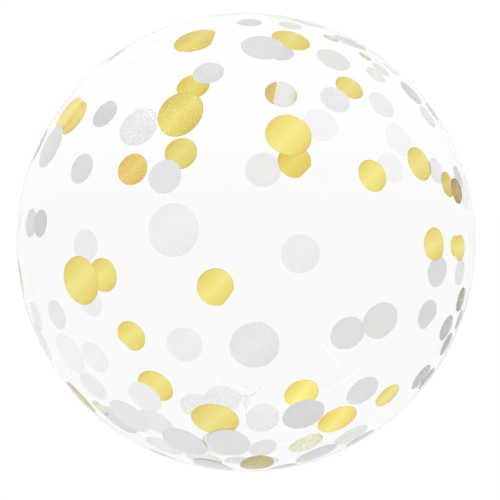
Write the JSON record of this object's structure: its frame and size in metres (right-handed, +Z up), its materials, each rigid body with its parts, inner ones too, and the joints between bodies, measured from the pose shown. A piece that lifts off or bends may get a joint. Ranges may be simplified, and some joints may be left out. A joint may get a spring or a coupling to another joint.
{
  "type": "clear bubble balloon",
  "caption": "Round balloon of clear stretch film with gold and silver confetti dots all round and a short flat filling neck low at the back.",
  "frame": {"origin": "middle of the small flat spot underneath that the balloon rests on", "axes": "+Z up through the middle of the ball, -Y the side that is seen from the front, +Y the side with the filling neck"},
  "size_m": [0.46, 0.46, 0.458],
  "materials": {
    "clear_film": "clear, thin and glossy stretch film",
    "gold_foil": "gold-coloured metallised film with a soft satin shine",
    "silver_foil": "pale silver metallised film with a soft satin shine"
  },
  "bodies": {
    "root": {"balloon_envelope": "clear_film"}
  },
  "joints": []
}
